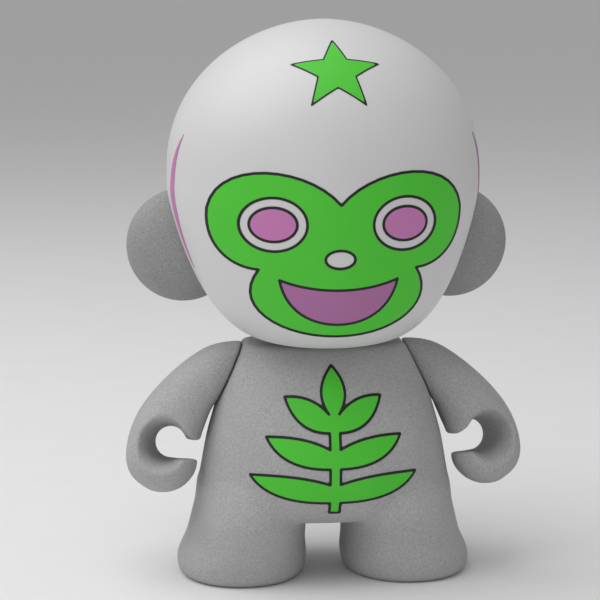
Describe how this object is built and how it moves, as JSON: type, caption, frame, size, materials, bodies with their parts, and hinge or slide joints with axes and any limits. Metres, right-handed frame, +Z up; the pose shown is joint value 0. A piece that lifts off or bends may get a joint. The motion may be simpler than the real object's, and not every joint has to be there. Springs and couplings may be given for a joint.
{
  "type": "vinyl art toy",
  "caption": "Standing vinyl art toy with an oversized egg-shaped head that turns on the neck, round ears, grip-shaped hands on swinging arms, and flat feet.",
  "frame": {"origin": "on the floor under the middle of the figure, at the bottom centre of its bounding box", "axes": "+Z up through the head; the face looks along -Y; +X is the figure's own left"},
  "size_m": [0.1278, 0.0916, 0.178],
  "materials": {
    "head_vinyl": "smooth white vinyl with a soft satin sheen",
    "body_vinyl": "matte grey vinyl with a fine speckled grain",
    "peg_plastic": "moulded joint plastic, satin",
    "green_print": "flat green film with a black keyline",
    "pink_print": "flat mauve pink film with a black keyline"
  },
  "bodies": {
    "torso": {"body_shell": "body_vinyl", "neck_peg": "peg_plastic", "chest_sticker": "green_print"},
    "head": {"head_shell": "head_vinyl", "ear_right": "body_vinyl", "ear_left": "body_vinyl", "mask_sticker": "green_print", "mouth_sticker": "pink_print", "eye_sticker_right": "pink_print", "eye_sticker_left": "pink_print", "forehead_sticker": "green_print", "temple_sticker_right": "pink_print", "temple_sticker_left": "pink_print"},
    "arm_right": {"arm_right": "body_vinyl", "shoulder_peg_right": "peg_plastic"},
    "arm_left": {"arm_left": "body_vinyl", "shoulder_peg_left": "peg_plastic"}
  },
  "joints": [
    {"name": "neck_turn", "type": "hinge", "parent": "torso", "child": "head", "pos_m": [0, 0, 0.0765], "axis": [0, 0, 1], "continuous": true},
    {"name": "shoulder_turn_right", "type": "hinge", "parent": "torso", "child": "arm_right", "pos_m": [-0.0306, 0, 0.0652], "axis": [-0.8988, 0, 0.4384], "range_deg": [-90, 90]},
    {"name": "shoulder_turn_left", "type": "hinge", "parent": "torso", "child": "arm_left", "pos_m": [0.0306, 0, 0.0652], "axis": [-0.8988, 0, -0.4384], "range_deg": [-90, 90]}
  ]
}
